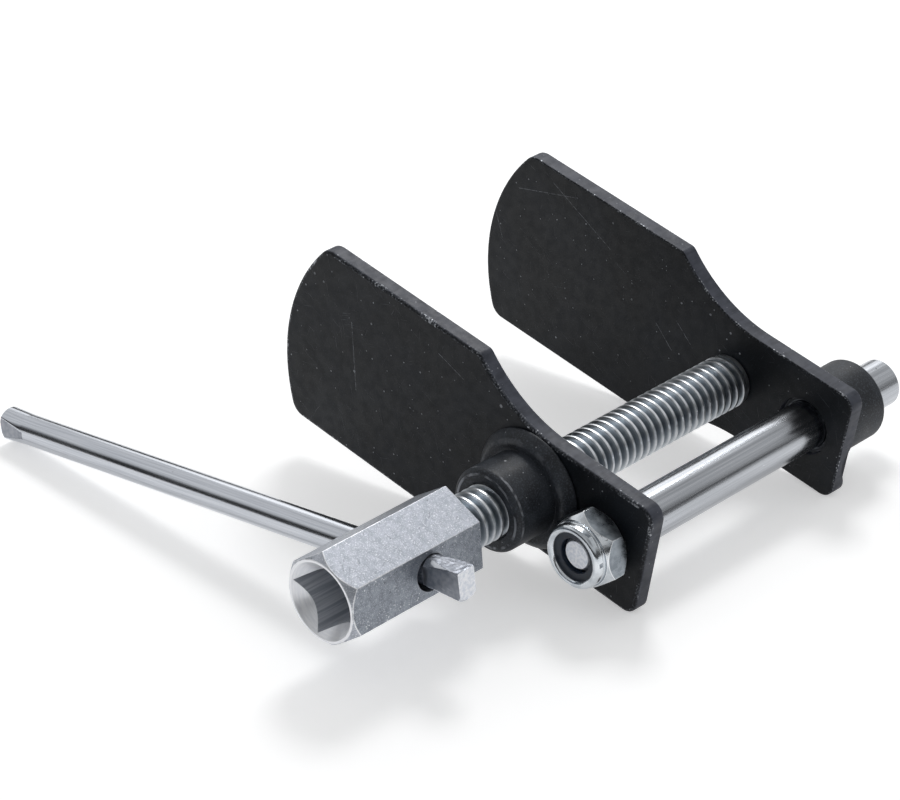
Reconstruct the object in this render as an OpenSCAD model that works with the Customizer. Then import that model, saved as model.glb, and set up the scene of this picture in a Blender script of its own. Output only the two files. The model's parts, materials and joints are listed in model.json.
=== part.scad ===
// Brake caliper piston tool: two flat plates on a guide rod, pushed apart by a screw.
// Origin: centre of the drive socket's mouth, on the screw's axis.
// +Y runs from the drive end to the rear plate, +X points to the plates' tails and +Z is up
// from the bench that the tool lies on, with both plates standing on their lower edges.

/* [Plates] */
// Length of a plate, from the tail's end to the top of the paddle's curve
plate_l = 117.5; // [110:0.5:130]
// Width of the paddle
paddle_w = 51; // [46:0.5:58]
// Width of the tail
tail_w = 30; // [28:0.5:34]
// Thickness of a plate
plate_t = 4.2; // [3:0.1:6]
// Distance from the tail's end to the paddle's shoulders
shoulder_u = 56.5; // [54:0.5:64]
// Radius of the hollow neck between tail and paddle
neck_r = 39.5; // [30:0.5:44]
// Rounding of the paddle's shoulders
shoulder_r = 2; // [1:0.1:4]
// Radius of the curve across the paddle's end
tip_r = 46.8; // [42:0.2:60]
// Distance from the plate's centre line down to the middle of that curve
tip_drop = 3; // [0:0.2:4]
// Rounding of the paddle's two end corners
tip_corner_r = 4.3; // [2:0.1:7]
// Rounding of the tail's corners
tail_corner_r = 3.4; // [1:0.1:6]
// Clear gap between the plates
jaw_gap = 67; // [30:0.2:72]

/* [Screw] */
// Outer diameter of the thread
screw_d = 13.6; // [12:0.1:15]
// Distance from the tail's end to the screw's axis
screw_u = 35.5; // [32:0.5:40]
// Bevel at the screw's shoulder
screw_bevel = 0.35; // [0.2:0.05:1]
// Diameter of the journal that turns in the rear plate
journal_d = 10; // [8:0.1:11]
// Length of screw that is fixed inside the drive head
head_grip = 9.5; // [6:0.5:10]
// Free length of thread between drive head and hub
thread_show = 12; // [4:0.5:20]

/* [Hub] */
// Diameter of the hub's body
hub_d = 21; // [19:0.2:24]
// Length of the hub in front of the plate
hub_l = 14.6; // [10:0.2:20]
// Diameter of the hub's flange
hub_flange_d = 30.2; // [29:0.2:34]
// Thickness of the flange's rim
hub_flange_t = 0.8; // [0.5:0.1:2]
// Radius of the hollow between flange and body
hub_hollow_r = 3.1; // [1:0.1:4]
// Rounding of the hub's outer edge
hub_edge_r = 1.3; // [0.5:0.1:2]
// Depth of the countersink at the hub's mouth
hub_sink = 1.2; // [0.5:0.1:1.6]
// Diameter of the hub's spigot in the plate
hub_spigot_d = 18; // [17:0.2:20]

/* [Drive head] */
// Width across the hexagon's flats
hex_af = 20.3; // [19:0.1:22]
// Length of the hexagon
hex_l = 40.2; // [38:0.2:46]
// Width of the flat rim left inside the flats
rim_inset = 0.15; // [0.1:0.05:0.5]
// Length of the bevel along the hexagon's corners
hex_bevel_l = 2; // [1:0.1:3]
// Width of the square socket
square_w = 12.9; // [12.7:0.05:13.1]
// Depth of the square socket
square_depth = 18; // [14:0.5:18]
// Diameter of the countersink at the socket's mouth
square_sink_d = 18.9; // [18.4:0.1:19.2]
// Distance from the head's inner end to the middle of the cross hole
cross_from_end = 15.8; // [15:0.1:16.5]

/* [Tommy bar] */
// Diameter of the bar
bar_d = 7.8; // [7:0.1:8.4]
// Length of the bar from the screw's axis to its long end
bar_reach = 135.8; // [110:0.2:150]
// Length of the bar from the screw's axis to its short end
bar_stub = 20.7; // [20.4:0.1:26]
// Angle by which the bar leans towards the drive end in its loose hole
bar_lean = 1.2; // [0:0.1:1.6]
// Length of the flats pressed on the short end
stub_flat_l = 13.6; // [12:0.1:15]
// Length over which the press dives from the round to the short end's flats
stub_dive_l = 3.2; // [2:0.1:4]
// Thickness between the short end's flats where the dive ends
stub_root_t = 6; // [5.6:0.1:7]
// Thickness left between the short end's flats at its tip
stub_tip_t = 5.2; // [4.5:0.1:5.6]
// Length of the flats pressed on the long end
long_flat_l = 9; // [7:0.1:12]
// Thickness left between the long end's flats at its tip
long_tip_t = 6.2; // [5:0.1:6.8]
// Diameter across the ears that the pinching raises
ear_d = 9.1; // [9.1:0.1:9.8]
// Length over which the ears grow from the round
ear_l = 8; // [5:0.1:8.8]
// Bevel at the bar's two ends
bar_bevel = 0.6; // [0.2:0.1:1]

/* [Guide] */
// Diameter of the guide rod
rod_d = 12; // [10:0.1:13]
// Distance from the tail's end to the rod's axis
rod_u = 12.2; // [11:0.2:13]
// Length of rod that shows behind the sleeve
rod_show = 11.6; // [4:0.2:20]
// Bevel at the rod's free end
rod_bevel = 0.7; // [0.3:0.1:2]
// Diameter of the sleeve
sleeve_d = 20.6; // [18:0.2:22]
// Length of the sleeve behind the plate
sleeve_l = 14.7; // [10:0.1:24]
// Rounding of the sleeve's outer edge
sleeve_edge_r = 0.8; // [0.3:0.1:2]
// Diameter of the hole in the rear plate that the sleeve's spigot fills
sleeve_spigot_d = 14.5; // [14:0.1:16]
// Depth of the spigot's end below the plate's inner face
spigot_recess = 1.4; // [0.5:0.1:2]

/* [Lock nut] */
// Outer diameter of the stud's thread
stud_d = 9.8; // [9:0.1:10]
// Diameter of the stud's point
stud_point_d = 6.7; // [5:0.1:7]
// Length of the stud's point
stud_point_l = 2.1; // [1:0.1:2.5]
// Width across the nut's flats
nut_af = 17; // [16.4:0.1:17.4]
// Turn of the nut's flats on the stud
nut_turn = 16; // [0:1:30]
// Diameter of the nut's bearing face
nut_base_d = 13.8; // [12:0.1:14.4]
// Height of the nut's hexagon with its bevel
nut_hex_h = 8.4; // [8:0.1:8.6]
// Height of the bevel from the hexagon's corners up to the collar
nut_bevel_l = 2.5; // [1:0.1:3]
// Height of the whole nut with its collar
nut_h = 10.9; // [10.6:0.1:11.5]
// Diameter of the collar
nut_collar_d = 15.8; // [15.4:0.1:16]
// Radius of the groove between hexagon and collar
nut_groove_r = 0.5; // [0.3:0.1:0.6]
// Radius of the collar's rolled lip
nut_lip_r = 1; // [0.9:0.05:1.1]
// Diameter of the mouth inside the lip
nut_mouth_d = 12; // [11.9:0.1:12.2]
// Depth of the insert below the lip's top
nut_lip_t = 1.2; // [1.1:0.1:1.5]
// Outer diameter of the nylon insert
insert_d = 12.7; // [12.4:0.1:13]
// Inner diameter of the nylon insert
insert_hole_d = 8.6; // [8.2:0.1:9]
// Height of the nylon insert
insert_h = 1.8; // [1.4:0.1:2]

/* [Retainer] */
// Diameter of the thrust washer
washer_d = 18; // [16:0.2:20]
// Thickness of the thrust washer
washer_t = 1.5; // [1:0.1:2.5]
// Thickness of the retaining ring
ring_t = 1; // [0.8:0.1:1.5]
// Width of the retaining ring's band
ring_band = 1.8; // [1.4:0.1:2.2]
// Radius of the retaining ring's two lugs
ring_lug_r = 1.6; // [1.4:0.1:1.8]
// Diameter of the plier holes in the lugs
ring_lug_hole_d = 1.5; // [1:0.1:1.8]
// Depth of the ring's groove in the journal
groove_depth = 0.35; // [0.2:0.05:0.6]
// Length of journal behind the ring
journal_tail = 1.2; // [0.8:0.1:3]

/* [Fits] */
// Radial clearance of a shaft that runs in a hole
run_gap = 0.1; // [0.05:0.01:0.1]
// Radial clearance of a fixed spigot, thread or insert
fix_gap = 0.04; // [0.02:0.01:0.08]
// Radial clearance of the loose tommy bar in the cross hole
bar_gap = 0.6; // [0.5:0.01:0.7]
// Clearance left where the tilted bar comes nearest to the cross hole's edge
bar_touch = 0.1; // [0.05:0.01:0.2]
// End play of the rear plate between shoulder and washer
end_play = 0.1; // [0.05:0.01:0.2]
// Height of the bar's long end above the bench
bench_gap = 0.1; // [0.1:0.05:0.5]

/* [Hidden] */
$fn = 96;

// Colours of the finishes
black_oxide = [0.15, 0.16, 0.17];
bright_zinc = [0.68, 0.70, 0.73];
hard_chrome = [0.80, 0.81, 0.83];
drawn_steel = [0.72, 0.73, 0.76];
navy_nylon = [0.10, 0.14, 0.19];

// How far a cut runs past the face that it opens
over = 1;

// Stations along the screw's axis
hub_end_y = hex_l + thread_show;
front_y = hub_end_y + hub_l;
front_back_y = front_y + plate_t;
rear_y = front_back_y + jaw_gap;
rear_back_y = rear_y + plate_t;
sleeve_end_y = rear_back_y + sleeve_l;
rod_end_y = sleeve_end_y + rod_show;
cross_y = hex_l - cross_from_end;
screw_start_y = hex_l - head_grip;
shoulder_y = rear_y - end_play;
washer_y = rear_back_y + end_play;
ring_y = washer_y + washer_t + fix_gap;
groove_w = ring_t + 2 * fix_gap;

// Plate outline: u runs from the tail's end towards the paddle, v across the plate
paddle_half = paddle_w / 2;
tail_half = tail_w / 2;
neck_v = tail_half + neck_r;
neck_u = shoulder_u - sqrt(neck_r ^ 2 - (neck_v - paddle_half) ^ 2);
shoulder_c = [
    neck_u + sqrt((neck_r + shoulder_r) ^ 2 - (neck_v - paddle_half + shoulder_r) ^ 2),
    paddle_half - shoulder_r
];
tip_c = [plate_l - tip_r, -tip_drop];
tip_reach = tip_r - tip_corner_r;
tail_c = [tail_corner_r, tail_half - tail_corner_r];

// Lean of the plates on the bench: a line under the tail's corner and the paddle's shoulder
foot_run = norm(shoulder_c - tail_c);
foot_drop = atan2(shoulder_c.y - tail_c.y, shoulder_c.x - tail_c.x);
bench_lean = foot_drop + asin((shoulder_r - tail_corner_r) / foot_run);
screw_height = (screw_u - tail_c.x) * sin(bench_lean) + tail_c.y * cos(bench_lean) + tail_corner_r;

// Slope of the bar with its long end on the bench, and how much of it is sag in the loose hole
bar_droop = asin((screw_height - bench_gap - ear_d / 2) / bar_reach);
bar_tilt = atan2(2 * (bar_gap - bar_touch), hex_af);
bar_sag = sqrt(bar_tilt ^ 2 - bar_lean ^ 2);

// Retaining ring
groove_r = journal_d / 2 - groove_depth;
ring_in_r = groove_r + fix_gap;
ring_lug_x = ring_in_r + ring_lug_r;
ring_mouth_angle = 24;

// Nut stations, measured from the front plate's face
insert_top_h = nut_h - nut_lip_t - fix_gap;
insert_base_h = insert_top_h - insert_h;
insert_seat_h = insert_base_h - fix_gap;
stud_slope = (stud_d - stud_point_d) / 2 / stud_point_l;
stud_end_h = insert_base_h + (insert_hole_d / 2 - 2 * fix_gap - stud_point_d / 2) / stud_slope;

// Unit vector at an angle from +X
function heading(angle) = [cos(angle), sin(angle)];

// Centre of an upper end corner's rounding, with the tip curve's centre that far below
function tip_corner_c(drop) =
    let (rise = paddle_half - tip_corner_r)
    [tip_c.x + sqrt(tip_reach ^ 2 - (rise + drop) ^ 2), rise];

// Stands a solid that was drawn along +Z on the screw's axis, pointing to +Y
module along_screw(y) {
    translate([0, y, 0]) rotate([-90, 0, 0]) children();
}

// The same on the guide rod's axis
module along_rod(y) {
    on_bench() translate([screw_u - rod_u, y, 0]) rotate([-90, 0, 0]) children();
}

// Leans the plates and what they carry as they stand on the bench
module on_bench() {
    rotate([0, bench_lean, 0]) children();
}

// Slopes the bar, or the cross hole that it sags in, down towards the paddles
module sloped(droop) {
    rotate([0, -droop, 0]) children();
}

// What lies outside a rounding of radius r about c, between the directions from and to
module corner_cut(c, r, from, to) {
    reach = r + over;
    half = (to - from) / 2;
    translate(c) difference() {
        polygon([
            [0, 0], reach * heading(from),
            reach / cos(half) * heading(from + half), reach * heading(to)
        ]);
        circle(r);
    }
}

// Upper half's cuts on a plate's blank: beside the tail, the neck and three corners
module edge_cuts(drop) {
    corner_c = tip_corner_c(drop);
    translate([-over, tail_half]) square([neck_u + over, paddle_half]);
    translate([neck_u, neck_v]) circle(neck_r);
    corner_cut(tail_c, tail_corner_r, 90, 180);
    corner_cut(shoulder_c, shoulder_r, 90, atan2(neck_v - shoulder_c.y, neck_u - shoulder_c.x));
    corner_cut(corner_c, tip_corner_r, asin((corner_c.y + drop) / tip_reach), 90);
}

// Outline of both plates, with u along +X
module plate_outline() {
    difference() {
        translate([0, -paddle_half]) square([plate_l, paddle_w]);
        difference() {
            translate([tip_c.x, -paddle_w]) square([plate_l, 2 * paddle_w]);
            translate(tip_c) circle(tip_r);
        }
        edge_cuts(tip_drop);
        mirror([0, 1]) edge_cuts(-tip_drop);
    }
}

// A plate with a hole on the screw's axis and one on the rod's axis
module plate(y, screw_hole_d, rod_hole_d) {
    on_bench() translate([0, y + plate_t, 0]) rotate([90, 0, 0]) linear_extrude(plate_t)
        translate([screw_u, 0]) mirror([1, 0]) difference() {
            plate_outline();
            translate([screw_u, 0]) circle(d = screw_hole_d);
            translate([rod_u, 0]) circle(d = rod_hole_d);
        }
}

// A hexagonal prism along +Z with two flats facing +X and -X
module hexagon(af, h) {
    rotate([0, 0, 30]) cylinder(d = af / cos(30), h = h, $fn = 6);
}

module front_plate() {
    color(black_oxide) plate(front_y, hub_spigot_d + 2 * fix_gap, stud_d + 4 * run_gap);
}

module rear_plate() {
    color(black_oxide) plate(rear_y, journal_d + 2 * run_gap, sleeve_spigot_d + 2 * fix_gap);
}

// Flanged bush in the front plate, drawn outwards from the plate's front face
module spindle_hub() {
    body_r = hub_d / 2;
    bore_r = screw_d / 2 + run_gap;
    flange_r = hub_flange_d / 2;
    spigot_r = hub_spigot_d / 2;
    hollow_top = hub_flange_t + hub_hollow_r;
    color(black_oxide) translate([0, front_y, 0]) rotate([90, 0, 0]) rotate_extrude() {
        difference() {
            polygon([
                [bore_r, -plate_t], [spigot_r, -plate_t], [spigot_r, 0],
                [flange_r, 0], [flange_r, hub_flange_t],
                [body_r + hub_hollow_r, hub_flange_t], [body_r, hollow_top],
                [body_r, hub_l - hub_edge_r], [body_r - hub_edge_r, hub_l],
                [bore_r + hub_sink, hub_l], [bore_r, hub_l - hub_sink]
            ]);
            translate([body_r + hub_hollow_r, hollow_top]) circle(hub_hollow_r);
        }
        translate([body_r - hub_edge_r, hub_l - hub_edge_r]) circle(hub_edge_r);
    }
}

// Rod with a shoulder against the front plate and a pointed stud through it
module guide_rod() {
    rod_r = rod_d / 2;
    stud_r = stud_d / 2;
    point_r = stud_point_d / 2;
    color(hard_chrome) along_rod(0) rotate_extrude() polygon([
        [0, front_y - stud_end_h], [point_r, front_y - stud_end_h],
        [stud_r, front_y - stud_end_h + stud_point_l], [stud_r, front_back_y],
        [rod_r, front_back_y], [rod_r, rod_end_y - rod_bevel],
        [rod_r - rod_bevel, rod_end_y], [0, rod_end_y]
    ]);
}

// Hexagon with bevelled corners, a groove and a round collar whose lip is rolled over the insert
module lock_nut() {
    collar_r = nut_collar_d / 2;
    base_r = nut_base_d / 2;
    lip_h = nut_h - nut_lip_r;
    bevel_rise = (nut_af / 2 / cos(30) - collar_r) / nut_bevel_l;
    color(bright_zinc) along_rod(front_y) mirror([0, 0, 1]) difference() {
        union() {
            intersection() {
                rotate([0, 0, -nut_turn]) hexagon(nut_af, nut_hex_h);
                cylinder(r1 = collar_r + bevel_rise * nut_hex_h, r2 = collar_r, h = nut_hex_h);
                cylinder(r1 = base_r, r2 = base_r + nut_hex_h, h = nut_hex_h);
            }
            rotate_extrude() {
                polygon([
                    [0, nut_hex_h / 2], [collar_r, nut_hex_h / 2], [collar_r, lip_h],
                    [collar_r - nut_lip_r, nut_h], [collar_r - 2 * nut_lip_r, lip_h], [0, lip_h]
                ]);
                translate([collar_r - nut_lip_r, lip_h]) circle(nut_lip_r);
            }
        }
        rotate_extrude() translate([collar_r, nut_hex_h]) circle(nut_groove_r);
        translate([0, 0, -over]) cylinder(d = stud_d + 2 * fix_gap, h = nut_h);
        translate([0, 0, insert_seat_h])
            cylinder(d = insert_d + 2 * fix_gap, h = insert_h + 2 * fix_gap);
        translate([0, 0, insert_seat_h]) cylinder(d = nut_mouth_d, h = nut_h);
    }
}

module lock_nut_insert() {
    color(navy_nylon) along_rod(front_y) mirror([0, 0, 1]) translate([0, 0, insert_base_h])
        difference() {
            cylinder(d = insert_d, h = insert_h);
            translate([0, 0, -over]) cylinder(d = insert_hole_d, h = insert_h + 2 * over);
        }
}

// Sleeve behind the rear plate, with a spigot in the plate's hole and a bore for the rod
module guide_sleeve() {
    body_r = sleeve_d / 2;
    bore_r = rod_d / 2 + run_gap;
    color(black_oxide) along_rod(rear_back_y) rotate_extrude() {
        polygon([
            [bore_r, spigot_recess - plate_t], [sleeve_spigot_d / 2, spigot_recess - plate_t],
            [sleeve_spigot_d / 2, 0], [body_r, 0], [body_r, sleeve_l - sleeve_edge_r],
            [body_r - sleeve_edge_r, sleeve_l], [bore_r, sleeve_l]
        ]);
        translate([body_r - sleeve_edge_r, sleeve_l - sleeve_edge_r]) circle(sleeve_edge_r);
    }
}

// Screw with a shoulder at the rear plate and a grooved journal through it
module spindle() {
    screw_r = screw_d / 2;
    journal_r = journal_d / 2;
    journal_end = ring_y + groove_w + journal_tail;
    color(bright_zinc) along_screw(0) rotate_extrude() polygon([
        [0, screw_start_y], [screw_r - screw_bevel, screw_start_y],
        [screw_r, screw_start_y + screw_bevel], [screw_r, shoulder_y - screw_bevel],
        [screw_r - screw_bevel, shoulder_y], [journal_r, shoulder_y], [journal_r, ring_y - fix_gap],
        [groove_r, ring_y - fix_gap], [groove_r, ring_y - fix_gap + groove_w],
        [journal_r, ring_y - fix_gap + groove_w], [journal_r, journal_end - screw_bevel],
        [journal_r - screw_bevel, journal_end], [0, journal_end]
    ]);
}

// Hexagon with a square socket in its mouth, a bore for the screw and a cross hole for the bar
module drive_head() {
    rim_r = hex_af / 2 - rim_inset;
    corner_r = hex_af / 2 / cos(30);
    sink_r = square_sink_d / 2;
    bore_d = screw_d + 2 * fix_gap;
    bevel_rise = (corner_r - rim_r) / hex_bevel_l;
    color(bright_zinc) sloped(bar_droop - bar_sag) difference() {
        along_screw(0) intersection() {
            hexagon(hex_af, hex_l);
            cylinder(r1 = rim_r, r2 = rim_r + bevel_rise * hex_l, h = hex_l);
        }
        rotate([0, 60, 0]) translate([-square_w / 2, -over, -square_w / 2])
            cube([square_w, square_depth + over, square_w]);
        along_screw(-over) cylinder(r1 = sink_r + over, r2 = 0, h = sink_r + over);
        along_screw(screw_start_y - fix_gap) cylinder(d = bore_d, h = head_grip + over);
        translate([0, cross_y, 0]) rotate([0, 90, 0])
            cylinder(d = bar_d + 2 * bar_gap, h = 2 * hex_af, center = true);
    }
}

// One end of the bar: a press leaves two flats that face along the screw, and raises ears beside them.
// flat_line gives the flat's points after its start, each as distance from the axis and height
module pinched_end(flat_line) {
    end_l = flat_line[len(flat_line) - 1].y;
    ear_r = ear_d / 2;
    ear_start = max(end_l - ear_l, fix_gap);
    ear_end = end_l - bar_bevel;
    half_section = concat([[0, 0], [bar_d / 2 + fix_gap, 0]], flat_line, [[0, end_l]]);
    intersection() {
        union() {
            cylinder(d = bar_d, h = ear_start);
            translate([0, 0, ear_start]) cylinder(d1 = bar_d, d2 = ear_d, h = ear_end - ear_start);
            translate([0, 0, ear_end]) cylinder(r1 = ear_r, r2 = ear_r - bar_bevel, h = bar_bevel);
        }
        rotate([90, 0, 90]) linear_extrude(2 * ear_d, center = true) {
            polygon(half_section);
            mirror([1, 0]) polygon(half_section);
        }
    }
}

// Bar through the cross hole, long end towards the paddles
module tommy_bar() {
    plain_start = stub_flat_l - bar_stub;
    plain_end = bar_reach - long_flat_l;
    color(drawn_steel) sloped(bar_droop)
        translate([0, cross_y, 0]) rotate([0, 0, bar_lean]) rotate([0, -90, 0]) {
            translate([0, 0, plain_start]) cylinder(d = bar_d, h = plain_end - plain_start);
            translate([0, 0, plain_end]) pinched_end([[long_tip_t / 2, long_flat_l]]);
            translate([0, 0, plain_start]) mirror([0, 0, 1])
                pinched_end([[stub_root_t / 2, stub_dive_l], [stub_tip_t / 2, stub_flat_l]]);
        }
}

module thrust_washer() {
    color(bright_zinc) along_screw(washer_y) difference() {
        cylinder(d = washer_d, h = washer_t);
        translate([0, 0, -over]) cylinder(d = journal_d + 2 * run_gap, h = washer_t + 2 * over);
    }
}

// External circlip: an open band with a holed lug on each side of its mouth
module retaining_ring() {
    ring_out_r = ring_in_r + ring_band;
    mouth_l = 3 * ring_out_r;
    color(black_oxide) along_screw(ring_y) linear_extrude(ring_t) difference() {
        union() {
            difference() {
                circle(ring_out_r);
                polygon([
                    [0, 0], mouth_l * [cos(ring_mouth_angle), sin(ring_mouth_angle)],
                    mouth_l * [cos(ring_mouth_angle), -sin(ring_mouth_angle)]
                ]);
            }
            for (side = [-1, 1]) rotate(side * 2 * ring_mouth_angle)
                translate([ring_lug_x, 0]) circle(ring_lug_r);
        }
        circle(ring_in_r);
        for (side = [-1, 1]) rotate(side * 2 * ring_mouth_angle) translate([ring_lug_x, 0])
            circle(d = ring_lug_hole_d, $fn = 24);
    }
}

front_plate();
spindle_hub();
guide_rod();
lock_nut();
lock_nut_insert();
rear_plate();
guide_sleeve();
spindle();
drive_head();
thrust_washer();
retaining_ring();
tommy_bar();
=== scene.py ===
# Brake caliper piston tool: a screw with a hexagonal head spreads two black steel plates on a guide rod.
# Lengths are metres in the CAD's own frame, apart from names that end in _mm.

import json
import math

import bmesh
import bpy
from mathutils import Matrix, Vector, noise


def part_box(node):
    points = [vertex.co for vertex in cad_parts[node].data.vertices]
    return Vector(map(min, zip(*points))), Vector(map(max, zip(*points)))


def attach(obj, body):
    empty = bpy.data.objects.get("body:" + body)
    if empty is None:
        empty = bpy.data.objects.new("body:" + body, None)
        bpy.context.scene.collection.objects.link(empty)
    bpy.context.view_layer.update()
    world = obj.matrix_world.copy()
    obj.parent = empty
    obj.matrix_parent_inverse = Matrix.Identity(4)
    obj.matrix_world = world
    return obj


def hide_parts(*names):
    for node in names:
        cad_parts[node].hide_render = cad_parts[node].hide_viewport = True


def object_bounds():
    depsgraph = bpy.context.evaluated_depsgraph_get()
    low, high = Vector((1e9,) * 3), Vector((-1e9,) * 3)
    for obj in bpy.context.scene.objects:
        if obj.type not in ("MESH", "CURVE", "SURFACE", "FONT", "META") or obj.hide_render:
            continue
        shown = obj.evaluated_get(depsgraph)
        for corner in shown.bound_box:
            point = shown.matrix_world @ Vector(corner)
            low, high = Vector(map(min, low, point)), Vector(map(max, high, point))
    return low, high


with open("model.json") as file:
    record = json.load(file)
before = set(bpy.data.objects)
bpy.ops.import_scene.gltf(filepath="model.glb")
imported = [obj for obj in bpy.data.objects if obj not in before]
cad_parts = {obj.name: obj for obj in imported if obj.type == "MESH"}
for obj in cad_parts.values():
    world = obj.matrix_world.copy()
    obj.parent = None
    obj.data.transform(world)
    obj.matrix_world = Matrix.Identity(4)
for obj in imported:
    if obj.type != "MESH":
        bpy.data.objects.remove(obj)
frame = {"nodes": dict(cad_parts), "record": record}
cad_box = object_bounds()

MM = 0.001

# Places and sizes that the frame gives
record = frame["record"]
behaviour = record["behaviour"]
body_of_node = {node: body for body, nodes in behaviour["bodies"].items() for node in nodes}
bar_axis = Vector(next(j["axis"] for j in behaviour["joints"] if j["name"] == "bar_slide")).normalized()
pitch = behaviour["couplings"][0]["ratio"] * 2 * math.pi
bench_z = cad_box[0].z
front_low, front_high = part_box("front_plate")
rear_low, rear_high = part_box("rear_plate")
rod_low, rod_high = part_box("guide_rod")
rod_x, rod_z = (rod_low.x + rod_high.x) / 2, (rod_low.z + rod_high.z) / 2

# The camera that fits the photograph's edges
CAMERA_PLACE = Vector((0.45447, -0.41733, 0.39464))
CAMERA_RIGHT = Vector((0.7150, 0.6990, -0.0126))
CAMERA_UP = Vector((-0.3334, 0.3567, 0.8727))
CAMERA_LENS_MM = 134.07
CAMERA_SENSOR_MM = 36.0


# Colours and nodes

def linear(hex_colour):
    """Linear RGBA of an sRGB hex colour."""
    shares = [int(hex_colour[i:i + 2], 16) / 255 for i in (1, 3, 5)]
    return [s / 12.92 if s <= 0.04045 else ((s + 0.055) / 1.055) ** 2.4 for s in shares] + [1.0]


def per_mm(size_mm):
    """Texture scale at which one unit of a pattern is size_mm across on the object."""
    return 1.0 / (size_mm * MM)


# Each kind of node in use: its type, its settings, the sockets that values go to in order, and its output
NODE_KINDS = {
    "place": ("ShaderNodeTexCoord", {}, (), "Object"),
    "normal": ("ShaderNodeTexCoord", {}, (), "Normal"),
    "direction": ("ShaderNodeTexCoord", {}, (), "Generated"),
    "wear": ("ShaderNodeAttribute", {"attribute_name": "wear"}, (), "Fac"),
    "camera ray": ("ShaderNodeLightPath", {}, (), "Is Camera Ray"),
    "glossy ray": ("ShaderNodeLightPath", {}, (), "Is Glossy Ray"),
    "transmission ray": ("ShaderNodeLightPath", {}, (), "Is Transmission Ray"),
    "noise": ("ShaderNodeTexNoise", {}, ("Vector", "Scale", "Detail"), 0),
    "noise vector": ("ShaderNodeTexNoise", {}, ("Vector", "Scale"), 1),
    "cell distance": ("ShaderNodeTexVoronoi", {}, ("Vector", "Scale"), "Distance"),
    "cell chance": ("ShaderNodeTexVoronoi", {}, ("Vector", "Scale"), "Color"),
    "stretch": ("ShaderNodeMapping", {}, ("Vector", "Scale"), 0),
    "turn": ("ShaderNodeMapping", {"vector_type": "TEXTURE"}, ("Vector", "Rotation"), 0),
    "x of": ("ShaderNodeSeparateXYZ", {}, (0,), "X"),
    "y of": ("ShaderNodeSeparateXYZ", {}, (0,), "Y"),
    "z of": ("ShaderNodeSeparateXYZ", {}, (0,), "Z"),
    "vector plus": ("ShaderNodeVectorMath", {"operation": "ADD"}, (0, 1), 0),
    "vector minus": ("ShaderNodeVectorMath", {"operation": "SUBTRACT"}, (0, 1), 0),
    "vector times": ("ShaderNodeVectorMath", {"operation": "SCALE"}, (0, "Scale"), 0),
    "dot": ("ShaderNodeVectorMath", {"operation": "DOT_PRODUCT"}, (0, 1), "Value"),
    "apart": ("ShaderNodeVectorMath", {"operation": "DISTANCE"}, (0, 1), "Value"),
    "hold": ("ShaderNodeClamp", {}, ("Value", "Min", "Max"), 0),
    "step": ("ShaderNodeMapRange", {"interpolation_type": "SMOOTHSTEP"}, (0, 1, 2, 3, 4), 0),
    "plus": ("ShaderNodeMath", {"operation": "ADD"}, (0, 1), 0),
    "minus": ("ShaderNodeMath", {"operation": "SUBTRACT"}, (0, 1), 0),
    "times": ("ShaderNodeMath", {"operation": "MULTIPLY"}, (0, 1), 0),
    "most": ("ShaderNodeMath", {"operation": "MAXIMUM"}, (0, 1), 0),
    "without sign": ("ShaderNodeMath", {"operation": "ABSOLUTE"}, (0,), 0),
    "mix": ("ShaderNodeMix", {"data_type": "RGBA"}, (0, 6, 7), 2),
    "bump": ("ShaderNodeBump", {}, ("Height", "Strength", "Distance"), 0),
    "diffuse": ("ShaderNodeBsdfDiffuse", {}, ("Color",), 0),
    "glow": ("ShaderNodeEmission", {}, ("Color", "Strength"), 0),
    "both": ("ShaderNodeAddShader", {}, (0, 1), 0),
    "sky": ("ShaderNodeBackground", {}, ("Color", "Strength"), 0),
}


def fill(tree, node, sockets):
    """Gives a node's sockets their values or links."""
    for name, value in sockets.items():
        if isinstance(value, bpy.types.NodeSocket):
            tree.links.new(value, node.inputs[name])
        else:
            node.inputs[name].default_value = value


def add(tree, kind, *values):
    """Adds a node with its settings, fills its sockets in order, and gives its output."""
    node_type, settings, sockets, output = NODE_KINDS[kind]
    made = tree.nodes.new(node_type)
    for name, value in settings.items():
        setattr(made, name, value)
    fill(tree, made, dict(zip(sockets, values)))
    return made.outputs[output]


# Patterns and layers of colour

# Span that nearly all values of a noise lie in
NOISE_SPAN = (0.3, 0.7)

# Share of a speck's radius, and step in a noise, over which an edge is soft
SPECK_EDGE = 0.3
HAIR_EDGE = 0.03

# How far hair scratches stray, over what length, and the size of the gaps in a deep scratch
HAIR_SWING_MM = 2.5
HAIR_SWAY_MM = 11
SCORE_GAP_MM = 0.8


def tones(tree, pattern, dark, pale, span=NOISE_SPAN):
    """Colour that goes from dark to pale as a pattern crosses a span."""
    return add(tree, "mix", add(tree, "step", pattern, *span), linear(dark), linear(pale))


def cover(tree, base, where, share, colour):
    """Lays a colour over a base where a pattern is, at a share of the pattern's strength."""
    return add(tree, "mix", add(tree, "times", where, share), base, linear(colour))


def streaks(tree, place, sizes_mm, detail):
    """Noise with grains of sizes_mm along X, Y and Z."""
    drawn_out = add(tree, "stretch", place, [per_mm(size) for size in sizes_mm])
    return add(tree, "noise", drawn_out, 1.0, detail)


def dust(tree, place, *rows):
    """Sparse round specks. Each row gives the size of a cell in mm, the share of cells with a speck,
    and the radius of the largest specks as a share of a cell."""
    specks = 0.0
    for cell_mm, share, radius in rows:
        near = add(tree, "cell distance", place, per_mm(cell_mm))
        chance = add(tree, "x of", add(tree, "cell chance", place, per_mm(cell_mm)))
        size = add(tree, "step", chance, 1.0 - share, 1.0, 0.0, radius)
        speck = add(tree, "step", add(tree, "minus", size, near), 0.0, radius * SPECK_EDGE)
        specks = add(tree, "most", specks, speck)
    return specks


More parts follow.
